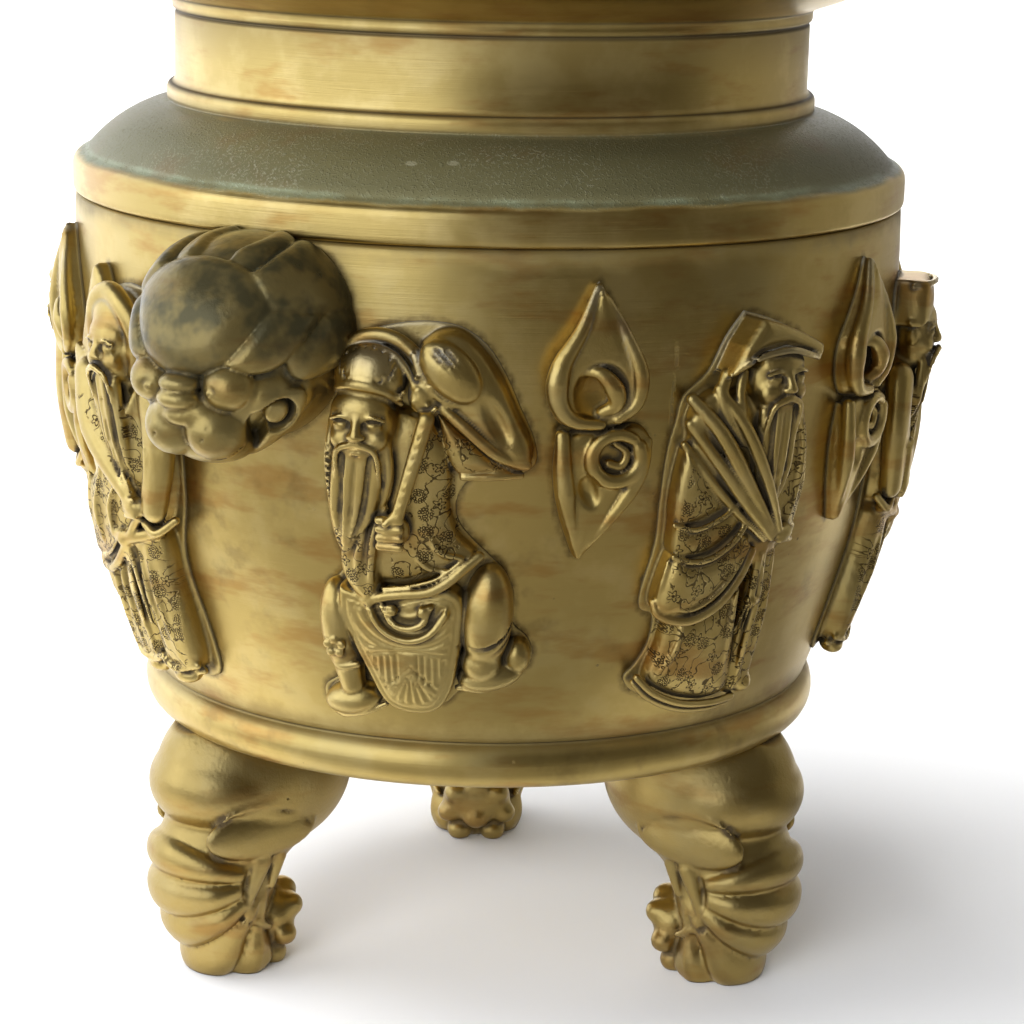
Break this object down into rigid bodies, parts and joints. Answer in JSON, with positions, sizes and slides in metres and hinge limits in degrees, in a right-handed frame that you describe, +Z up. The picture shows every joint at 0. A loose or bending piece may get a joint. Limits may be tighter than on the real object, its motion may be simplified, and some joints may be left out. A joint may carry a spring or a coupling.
{
  "type": "footed lidded brass vessel",
  "caption": "Drum-shaped cast brass vessel on curled elephant-head legs, with robed figures, cloud scrolls and lion masks in relief, a domed shoulder, a flared neck and a lift-off lid.",
  "frame": {"origin": "on the floor under the vessel's axis, midway between the three feet", "axes": "+Z up along the vessel's axis; -Y is the front, seen in the picture; +X to the right of it"},
  "size_m": [0.4389, 0.4852, 0.5718],
  "materials": {
    "drum_brass": "aged satin, faint polishing marks",
    "shoulder_brass": "polished bands, matte grey-green patina on the dome",
    "lid_brass": "aged satin with dull patina",
    "leg_brass": "worn satin, dark in the folds",
    "relief_brass": "worn highlights, dark in the cuts",
    "mask_brass": "dark olive patina, worn on the high points"
  },
  "bodies": {
    "root": {"bowl": "drum_brass", "shoulder_and_neck": "shoulder_brass", "lid": "lid_brass", "leg_left": "leg_brass", "leg_right": "leg_brass", "leg_rear": "leg_brass", "immortal_with_sack": "relief_brass", "immortal_scholar": "relief_brass", "immortal_in_tall_hat": "relief_brass", "immortal_with_lotus": "relief_brass", "immortal_with_sword": "relief_brass", "immortal_with_flute": "relief_brass", "immortal_with_gourd": "relief_brass", "immortal_with_fan": "relief_brass", "cloud_scroll_1": "relief_brass", "cloud_scroll_2": "relief_brass", "cloud_scroll_3": "relief_brass", "cloud_scroll_4": "relief_brass", "cloud_scroll_5": "relief_brass", "cloud_scroll_6": "relief_brass", "lion_mask_left": "mask_brass", "lion_mask_right": "mask_brass"}
  },
  "joints": []
}
